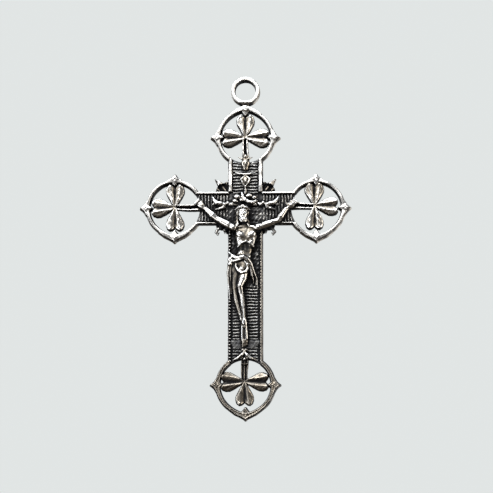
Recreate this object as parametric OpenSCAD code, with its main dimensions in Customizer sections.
// Crucifix pendant. Millimetres. The beam stands along Z, the face looks along -Y,
// and the origin is the centre of the hanging ring's hole.

/* [Hanging ring] */
// Diameter of the ring's hole
bail_bore_d = 3.1; // [2.8:0.1:3.3]
// Radial thickness of the ring
bail_rim = 0.5; // [0.4:0.05:0.6]

/* [Cross] */
// Thickness of the frames, the ring and the whole border
body_t = 1.5; // [1.4:0.1:1.7]
// Thickness of the ground plate
plate_t = 0.9; // [0.8:0.05:1]
// Width of the upright
upright_w = 4.9; // [4.7:0.1:5.1]
// Height of the crossbar
crossbar_h = 4.7; // [4.5:0.1:4.9]
// Ring hole to the middle of the top medallion
top_drop = 7.05; // [6.95:0.05:7.15]
// Ring hole to the middle of the crossbar
crossbar_drop = 17.6; // [17.5:0.05:17.7]
// Ring hole to the middle of the bottom medallion
bottom_drop = 43.6; // [43:0.1:44]
// Middle of the cross to the middle of a side medallion
side_reach = 10.4; // [10.3:0.05:10.5]

/* [Ribs and borders] */
// Spacing of the fine ribs
rib_pitch = 0.45; // [0.4:0.05:0.6]
// Height of the ribs above the plate
rib_h = 0.15; // [0.1:0.05:0.2]
// Width of the smooth borders beside the upper upright
rail_w = 0.48; // [0.4:0.02:0.5]
// Width of the toothed borders beside the lower upright
milled_w = 0.34; // [0.3:0.02:0.4]

/* [Medallions] */
// Radius of the round window in each medallion
window_r = 3.8; // [3.7:0.05:3.85]
// Radial width of the round frame
frame_w = 0.45; // [0.35:0.05:0.5]
// Middle of a medallion to the tip of a cusp
cusp_reach = 5.12; // [5.05:0.01:5.15]
// Radius of each lobe of a shamrock leaf
lobe_r = 0.66; // [0.55:0.01:0.7]

/* [Figure] */
// Radius of the nails
nail_r = 0.15; // [0.12:0.01:0.18]
// Relief of the chest above the back of the cross
chest_relief = 2.75; // [2.5:0.05:3]
// Relief of the head above the back of the cross
head_relief = 3.05; // [2.9:0.05:3.2]

/* [Hidden] */
$fn = 48;

silver = [0.80, 0.79, 0.76];
bright = [0.92, 0.91, 0.88];
oxide = [0.30, 0.29, 0.28];
tan_silver = [0.68, 0.62, 0.52];

back_y = body_t / 2;               // plane of the flat back
ground = plate_t + rib_h;          // relief of the rib crests, where the ornaments sit
upright_hw = upright_w / 2;
crossbar_hh = crossbar_h / 2;
frame_r = window_r + frame_w;
bail_r = bail_bore_d / 2;
bail_outer_r = bail_r + bail_rim;
crossbar_rail_w = 0.3;
lower_rail_w = 0.22;
rail_relief = 1.45;
milled_relief = 1.2;
tooth_relief = 1.35;
rib_gap = 0.1;                     // ribs stop this far from a window
neck_w = 1.1;                      // width of the neck under the hanging ring
stem_relief = ground;
stem_w = 0.84;
leaf_relief = 1.4;
leaf_floor_relief = leaf_relief - 0.3;
leaf_tip_r = 3.3;                  // middle of a medallion to the end of a leaf's lobes
leaf_notch_r = 2.95;               // middle of a medallion to the notch between the lobes
vein_w = 0.1;
upper_leaf_relief = plate_t + 0.2;
lower_leaf_relief = plate_t + 0.1;
ornament_relief = 1.4;
scroll_w = 0.34;
palmette_low = -17.0;              // the crown meets the fan here
mound_high = -36.9;
mound_low = -38.2;
mound_w = 3.8;
mound_relief = ground + 0.2;
figure_fn = 20;
far = 60;                          // longer than the whole pendant

// Middle and outward direction of each medallion: [x, z, turn of the outward end from +Z]
TOP = [0, -top_drop, 0];
LEFT = [-side_reach, -crossbar_drop, 90];
RIGHT = [side_reach, -crossbar_drop, -90];
BOTTOM = [0, -bottom_drop, 180];

palm_x = 6.25;                     // middle to the nail of each hand
palm_z = -17.3;
instep_x = -0.15;                  // nail of the crossed feet
instep_z = -35.3;
nail_head_r = 0.27;
nail_head_t = 0.12;
nail_depth = 0.45;                 // relief of the nail's inner end, inside the plate
palm_relief = 2.05;                // under the head of each hand's nail
instep_relief = 2.3;

shoulder_x = 1.35;                 // the arms join the trunk here
neck_z = -19.75;                   // the head joins the trunk here
waist_z = -24.2;                   // the trunk meets the cloth here
hem_z = -27.3;                     // the cloth meets the thighs here
tail_x = milled_w - upright_hw;    // the knot's tail hangs over the toothed border, outside this line
hip_x = 1.2;                       // the cloth's other end hangs outside this line
chest_ball_r = 0.75;
crown_x = -0.35;
crown_z = -17.45;
crown_r = 0.86;
crown_wire_r = 0.17;

// Extrudes an outline drawn in x and z between two heights above the flat back
module relief(low, high) {
    translate([0, back_y - low, 0])
        rotate([90, 0, 0])
            linear_extrude(high - low)
                children();
}

// Puts an outline drawn around a medallion, outward end up, in its place
module at_medallion(m) {
    translate([m[0], m[1]])
        rotate(m[2])
            children();
}

// ---- ground plate ----

module upright_outline() {
    translate([-upright_hw, -bottom_drop])
        square([upright_w, bottom_drop - top_drop]);
}

module crossbar_outline() {
    translate([-side_reach, -crossbar_drop - crossbar_hh])
        square([2 * side_reach, crossbar_h]);
}

module windows(r) {
    for (m = [TOP, LEFT, RIGHT, BOTTOM])
        at_medallion(m)
            circle(r);
}

module plate_outline() {
    difference() {
        union() {
            upright_outline();
            crossbar_outline();
        }
        windows(window_r);
    }
}

// Crests of the upright ribs on both arms of the crossbar
module crossbar_ribs() {
    inner_h = crossbar_h - crossbar_rail_w - lower_rail_w;
    for (side = [-1, 1])
        for (k = [0 : floor((side_reach - upright_hw) / rib_pitch) - 1])
            translate([side * (upright_hw + (k + 0.5) * rib_pitch), 0])
                translate([-rib_pitch / 4, -crossbar_drop - crossbar_hh + lower_rail_w])
                    square([rib_pitch / 2, inner_h]);
}

// Crests of the level ribs down the whole upright
module upright_ribs() {
    rib_l = upright_w - 2 * rail_w;
    for (k = [0 : floor((bottom_drop - top_drop) / rib_pitch) - 1])
        translate([-rib_l / 2, -top_drop - (k + 1) * rib_pitch])
            square([rib_l, rib_pitch / 2]);
}

module cross_plate() {
    color(oxide)
        difference() {
            union() {
                relief(0, plate_t)
                    plate_outline();
                relief(plate_t, ground)
                    difference() {
                        union() {
                            upright_ribs();
                            crossbar_ribs();
                        }
                        windows(window_r + rib_gap);
                    }
            }
            nail_holes(nail_r);
        }
}

// Holes for the three nails, straight into the face
module nail_holes(r) {
    nail_hole(-palm_x, palm_z, r);
    nail_hole(palm_x, palm_z, r);
    nail_hole(instep_x, instep_z, r);
}

module nail_hole(x, z, r) {
    translate([x, back_y - nail_depth, z])
        rotate([90, 0, 0])
            cylinder(h = far, r = r);
}

// ---- borders ----

// A border along one side of the upright, between two heights; side is -1 or 1
module side_strip(side, z_low, z_high, w) {
    x = side > 0 ? upright_hw - w : -upright_hw;
    difference() {
        translate([x, z_low])
            square([w, z_high - z_low]);
        windows(window_r);
    }
}

module upper_rail(side) {
    color(bright)
        relief(plate_t, rail_relief)
            side_strip(side, -crossbar_drop + crossbar_hh, -top_drop, rail_w);
}

// A border along an arm of the crossbar, from the upright to the window; edge is 1 at the top
module crossbar_rail(side, edge, w) {
    z = edge > 0 ? -crossbar_drop + crossbar_hh - w : -crossbar_drop - crossbar_hh;
    x = side > 0 ? upright_hw : -side_reach;
    color(bright)
        relief(plate_t, rail_relief)
            difference() {
                translate([x, z])
                    square([side_reach - upright_hw, w]);
                windows(window_r);
            }
}

module milled_edge(side) {
    z_high = -crossbar_drop - crossbar_hh;
    z_low = -bottom_drop;
    tooth = rib_pitch / 2;
    color(silver) {
        relief(plate_t, milled_relief)
            side_strip(side, z_low, z_high, milled_w);
        relief(milled_relief, tooth_relief)
            intersection() {
                side_strip(side, z_low, z_high, milled_w);
                for (k = [0 : floor((z_high - z_low) / rib_pitch) - 1])
                    translate([-upright_hw, z_high - (k + 1) * rib_pitch])
                        square([upright_w, tooth]);
            }
    }
}

// ---- hanging ring ----

module bail_neck() {
    neck_low = -top_drop + frame_r;
    translate([-neck_w / 2, neck_low])
        square([neck_w, -bail_r - bail_rim / 4 - neck_low]);
}

module bail_outline() {
    difference() {
        union() {
            circle(bail_outer_r);
            bail_neck();
        }
        circle(bail_r);
    }
}

module bail_ring() {
    color(silver)
        difference() {
            union() {
                rotate([90, 0, 0])
                    cylinder(h = body_t, r = bail_outer_r, center = true);
                relief(0, body_t)
                    bail_neck();
            }
            rotate([90, 0, 0])
                cylinder(h = far, r = bail_r, center = true);
            relief(-1, body_t + 1)
                at_medallion(TOP)
                    circle(frame_r);
        }
}

// ---- medallions ----

// A cusp's point outward along +Y from the frame
module cusp_outer() {
    polygon([
        [-1.25, frame_r - 0.35], [-0.62, frame_r + 0.02], [-0.24, frame_r + 0.42],
        [0, cusp_reach],
        [0.24, frame_r + 0.42], [0.62, frame_r + 0.02], [1.25, frame_r - 0.35]
    ]);
}

// The same cusp's small point inward, into the leaf's notch
module cusp_inner() {
    polygon([[-0.45, window_r + 0.1], [0, leaf_notch_r], [0.45, window_r + 0.1]]);
}

module medallion_frame(m) {
    color(bright)
        difference() {
            union() {
                relief(0, body_t)
                    at_medallion(m)
                        circle(frame_r);
                relief(0, body_t)
                    at_medallion(m)
                        for (turn = [-90, 0, 90])
                            rotate(turn)
                                cusp_outer();
            }
            difference() {
                relief(-1, body_t + 1)
                    at_medallion(m)
                        circle(window_r);
                relief(-1, body_t + 1)
                    at_medallion(m)
                        for (turn = [-90, 0, 90])
                            rotate(turn)
                                cusp_inner();
            }
            relief(-1, body_t + 1) {
                upright_outline();
                crossbar_outline();
                bail_outline();
                at_medallion(m)
                    leaves();
            }
        }
}

// One heart-shaped leaf that points along +Y
module leaf() {
    lobe_y = leaf_tip_r - lobe_r;
    difference() {
        union() {
            for (side = [-1, 1])
                translate([side * (lobe_r - 0.06), lobe_y])
                    circle(lobe_r);
            polygon([[-0.2, 0], [-2 * lobe_r + 0.16, lobe_y - 0.4], [0, lobe_y + 0.3],
                     [2 * lobe_r - 0.16, lobe_y - 0.4], [0.2, 0]]);
        }
        polygon([[-0.2, leaf_tip_r + 0.1], [0, leaf_notch_r], [0.2, leaf_tip_r + 0.1]]);
    }
}

module leaves() {
    for (turn = [-90, 0, 90])
        rotate(turn)
            leaf();
}

module leaf_grooves() {
    for (turn = [-90, 0, 90])
        rotate(turn)
            for (x = [-0.62, 0, 0.62])
                translate([x * 0.5, 0])
                    rotate(-x * 16)
                        translate([-vein_w / 2, 0.7])
                            square([vein_w, 1.9]);
}

module stem() {
    translate([-stem_w / 2, -window_r - 0.2])
        square([stem_w, window_r]);
}

module shamrock(m) {
    color(m == BOTTOM ? tan_silver : silver) {
        relief(0, leaf_relief)
            at_medallion(m)
                difference() {
                    leaves();
                    leaf_grooves();
                }
        relief(0, leaf_floor_relief)
            at_medallion(m)
                leaves();
        relief(0, stem_relief)
            difference() {
                at_medallion(m)
                    stem();
                plate_outline();
            }
    }
}

// ---- leaves in the angles of the crossing ----

module upper_leaf(side) {
    corner_z = -crossbar_drop + crossbar_hh;
    color(silver)
        relief(0, upper_leaf_relief)
            scale([side, 1])
                translate([upright_hw, corner_z])
                    polygon([[0, 0], [1.95, 0], [1.55, 0.5], [2.15, 1.75], [1.3, 1.15],
                             [1.1, 1.95], [0.7, 1.3], [0, 1.9]]);
}

module lower_leaf(side) {
    corner_z = -crossbar_drop - crossbar_hh;
    color(oxide)
        relief(0, lower_leaf_relief)
            scale([side, 1])
                translate([upright_hw, corner_z])
                    polygon([[0, 0], [2.0, 0], [1.7, -0.45], [1.95, -1.5], [1.15, -0.95],
                             [0.75, -1.75], [0.5, -1.05], [0, -1.6]]);
}

// ---- small ornaments ----

// A line of even width through a list of points
module stroke(points, w) {
    for (k = [1 : len(points) - 1])
        hull() {
            translate(points[k - 1])
                circle(d = w, $fn = 16);
            translate(points[k])
                circle(d = w, $fn = 16);
        }
}

module top_bud() {
    color(tan_silver) {
        relief(ground, ornament_relief)
            translate([0, -10.25])
                circle(0.36);
        relief(ground, ornament_relief)
            translate([0, -10.0])
                polygon([[-1.05, 0.1], [0, -0.3], [1.05, 0.1], [0.5, -0.6], [0.66, -1.3],
                         [0, -2.15], [-0.66, -1.3], [-0.5, -0.6]]);
    }
}

module shield_bud() {
    color(silver)
        relief(ground, ornament_relief)
            translate([0, -12.5]) {
                polygon([[-1.55, 0.25], [0, 0], [1.55, 0.25], [1.0, -0.3], [0.4, -0.3], [0.66, -1.1],
                         [0.18, -1.8], [0, -2.75], [-0.18, -1.8], [-0.66, -1.1], [-0.4, -0.3],
                         [-1.0, -0.3]]);
            }
}

module palmette() {
    color(silver)
        relief(ground, ornament_relief)
            difference() {
                translate([0, -17.2])
                    for (turn = [-72 : 24 : 72])
                        rotate(turn)
                            polygon([[-0.14, 0], [-0.3, 1.2], [0, 1.75], [0.3, 1.2], [0.14, 0]]);
                translate([-far / 2, palmette_low - far])
                    square(far);
            }
}

module scroll(side) {
    color(silver)
        relief(ground, ornament_relief)
            scale([side, 1])
                stroke([[4.75, -16.15], [4.45, -16.8], [3.7, -17.2], [3.05, -17.25],
                        [3.15, -17.65], [3.7, -17.8], [4.4, -18.0]], scroll_w);
}

module foot_mound() {
    color(oxide)
        relief(ground, mound_relief)
            translate([-mound_w / 2, mound_low])
                square([mound_w, mound_high - mound_low]);
}

module lower_fleur() {
    color(silver) {
        relief(ground, ornament_relief)
            translate([0, -38.65])
                circle(0.32);
        relief(ground, ornament_relief)
            translate([0, -38.65])
                polygon([[-0.3, 0], [0.3, 0], [0.65, -0.75], [1.25, -1.15], [0.55, -1.15],
                         [0, -0.7], [-0.55, -1.15], [-1.25, -1.15], [-0.65, -0.75]]);
    }
}

// ---- figure ----

// A ball at [x, z], its middle at a relief above the flat back
module ball(p) {
    translate([p[0], back_y - p[2], p[1]])
        sphere(r = p[3], $fn = figure_fn);
}

// A limb through balls given as [x, z, relief, radius]
module limb(balls) {
    for (k = [1 : len(balls) - 1])
        hull() {
            ball(balls[k - 1]);
            ball(balls[k]);
        }
}

// Keeps what lies in front of the rib crests, in a box of x and z
module in_front(x_low, x_high, z_low, z_high, low = ground) {
    intersection() {
        union()
            children();
        translate([x_low, back_y - low - far, z_low])
            cube([x_high - x_low, far, z_high - z_low]);
    }
}

module torso_form() {
    chest_y = chest_relief - chest_ball_r;
    hull() {
        for (side = [-1, 1])
            ball([side * 1.1 + 0.05, -20.75, chest_y - 0.25, 0.5]);
        for (side = [-1, 1])
            ball([side * 0.62 + 0.05, -21.6, chest_y, chest_ball_r]);
    }
    hull() {
        for (side = [-1, 1])
            ball([side * 0.6 + 0.05, -21.7, chest_y, chest_ball_r]);
        ball([0, -23.6, chest_y - 0.35, chest_ball_r]);
    }
    hull() {
        ball([0, -23.4, chest_y - 0.35, chest_ball_r]);
        for (side = [-1, 1])
            ball([side * 0.45 - 0.1, -25, chest_y - 0.4, chest_ball_r]);
    }
    limb([[0, -20.9, chest_y - 0.3, 0.55], [-0.15, -19.5, chest_y - 0.1, 0.42]]);
}

module corpus_torso() {
    color(bright)
        in_front(-shoulder_x, shoulder_x, waist_z, neck_z)
            torso_form();
}

module head_form() {
    middle = head_relief - 0.78;
    hull() {
        ball([-0.35, -17.75, middle - 0.12, 0.78]);
        ball([-0.36, -18.75, middle + 0.1, 0.6]);
    }
    limb([[-0.35, -17.9, middle - 0.45, 0.85], [-0.25, -19.3, middle - 0.5, 0.8]]);
    limb([[-0.2, -18.6, middle - 0.45, 0.7], [-0.2, -19.9, middle - 0.45, 0.55]]);
}

// The crown is a ring round the brow that leans with the head
module crown_form() {
    translate([crown_x, back_y - head_relief + crown_r + 0.09, crown_z])
        rotate([-14, 6, 0])
            rotate_extrude($fn = 36)
                translate([crown_r, 0])
                    circle(crown_wire_r, $fn = 16);
}

module corpus_head() {
    color(bright)
        difference() {
            in_front(-1.4, 0.7, neck_z, palmette_low)
                head_form();
            crown_form();
        }
}

module crown_of_thorns() {
    color(silver)
        in_front(-far, far, -far, 0, ornament_relief)
            crown_form();
}

// One arm from the shoulder to the fingers, drilled for its nail
module arm(side, balls) {
    low_x = side > 0 ? shoulder_x : -far;
    high_x = side > 0 ? far : -shoulder_x;
    color(bright)
        difference() {
            in_front(low_x, high_x, -far, 0, rail_relief)
                limb(balls);
            nail_hole(side * palm_x, palm_z, nail_r);
        }
}

module corpus_arm_left() {
    arm(-1, [[-1.2, -20.7, 2.1, 0.5], [-2.3, -20.2, 1.95, 0.42], [-4.3, -18.95, 1.8, 0.4],
             [-5.7, -17.85, 1.75, 0.3], [-6.4, -17.2, 1.7, 0.36], [-7.45, -16.45, 1.7, 0.2]]);
}

module corpus_arm_right() {
    arm(1, [[1.2, -20.7, 2.1, 0.5], [2.4, -20.35, 1.95, 0.42], [4.7, -19.45, 1.8, 0.4],
            [5.75, -18.2, 1.75, 0.3], [6.3, -17.3, 1.7, 0.36], [7.1, -16.5, 1.7, 0.2]]);
}

module cloth_form() {
    hull() {
        ball([-1.0, -24.6, 1.9, 0.85]);
        ball([0.75, -25.3, 1.8, 0.8]);
        ball([-0.9, -26.9, 2.0, 0.85]);
        ball([0.2, -27.1, 2.1, 0.85]);
    }
    limb([[-2.3, -24.2, 1.7, 0.3], [-1.6, -24.9, 2.3, 0.35], [0, -25.1, 2.55, 0.3]]);
    ball([-2.1, -25.6, 1.9, 0.5]);
}

module cloth_tails() {
    limb([[-2.35, -26.0, 1.6, 0.32], [-2.4, -31.2, 1.35, 0.2]]);
    limb([[0.9, -25.1, 1.8, 0.3], [1.75, -27.8, 1.4, 0.2]]);
}

module loincloth() {
    color(bright) {
        in_front(tail_x, far, hem_z, waist_z) {
            cloth_form();
            cloth_tails();
        }
        in_front(-far, tail_x, hem_z, waist_z, tooth_relief) {
            cloth_form();
            cloth_tails();
        }
        in_front(-far, tail_x, -far, hem_z, tooth_relief)
            cloth_tails();
        in_front(hip_x, far, -far, hem_z)
            cloth_tails();
    }
}

module legs_form() {
    limb([[-1.25, -26.6, 1.95, 0.75], [-1.5, -29.6, 2.1, 0.5], [-0.8, -33.0, 1.6, 0.36],
          [-0.25, -34.6, 1.6, 0.36]]);
    limb([[0.0, -26.6, 2.05, 0.75], [-0.65, -29.2, 2.25, 0.52], [-0.2, -32.2, 1.95, 0.4],
          [-0.15, -34.3, 1.9, 0.48]]);
    limb([[-0.15, -34.3, 1.9, 0.48], [-0.1, -38.0, 1.6, 0.4]]);
}

module corpus_legs() {
    color(bright)
        difference() {
            in_front(tail_x, hip_x, -far, hem_z)
                legs_form();
            nail_hole(instep_x, instep_z, nail_r);
            relief(0, mound_relief)
                translate([-mound_w / 2, -far])
                    square([mound_w, mound_high + far]);
        }
}

// A nail through a hand or the feet into the plate; head_low is the relief under its head
module nail(x, z, head_low) {
    shank = head_low - nail_depth;
    color(tan_silver)
        translate([x, back_y - nail_depth, z])
            rotate([90, 0, 0]) {
                cylinder(h = shank, r = nail_r);
                translate([0, 0, shank])
                    cylinder(h = nail_head_t, r1 = nail_head_r, r2 = nail_head_r * 0.7);
            }
}

cross_plate();
upper_rail(-1);  // upper_rail_left
upper_rail(1);  // upper_rail_right
crossbar_rail(-1, 1, crossbar_rail_w);  // crossbar_top_rail_left
crossbar_rail(1, 1, crossbar_rail_w);  // crossbar_top_rail_right
crossbar_rail(-1, -1, lower_rail_w);  // crossbar_lower_rail_left
crossbar_rail(1, -1, lower_rail_w);  // crossbar_lower_rail_right
milled_edge(-1);  // milled_edge_left
milled_edge(1);  // milled_edge_right
bail_ring();
medallion_frame(TOP);  // medallion_frame_top
medallion_frame(LEFT);  // medallion_frame_left
medallion_frame(RIGHT);  // medallion_frame_right
medallion_frame(BOTTOM);  // medallion_frame_bottom
shamrock(TOP);  // shamrock_top
shamrock(LEFT);  // shamrock_left
shamrock(RIGHT);  // shamrock_right
shamrock(BOTTOM);  // shamrock_bottom
upper_leaf(-1);  // upper_leaf_left
upper_leaf(1);  // upper_leaf_right
lower_leaf(-1);  // lower_leaf_left
lower_leaf(1);  // lower_leaf_right
top_bud();
shield_bud();
palmette();
scroll(-1);  // scroll_left
scroll(1);  // scroll_right
foot_mound();
lower_fleur();
corpus_torso();
corpus_head();
crown_of_thorns();
corpus_arm_left();
corpus_arm_right();
loincloth();
corpus_legs();
nail(-palm_x, palm_z, palm_relief);  // hand_nail_left
nail(palm_x, palm_z, palm_relief);  // hand_nail_right
nail(instep_x, instep_z, instep_relief);  // foot_nail
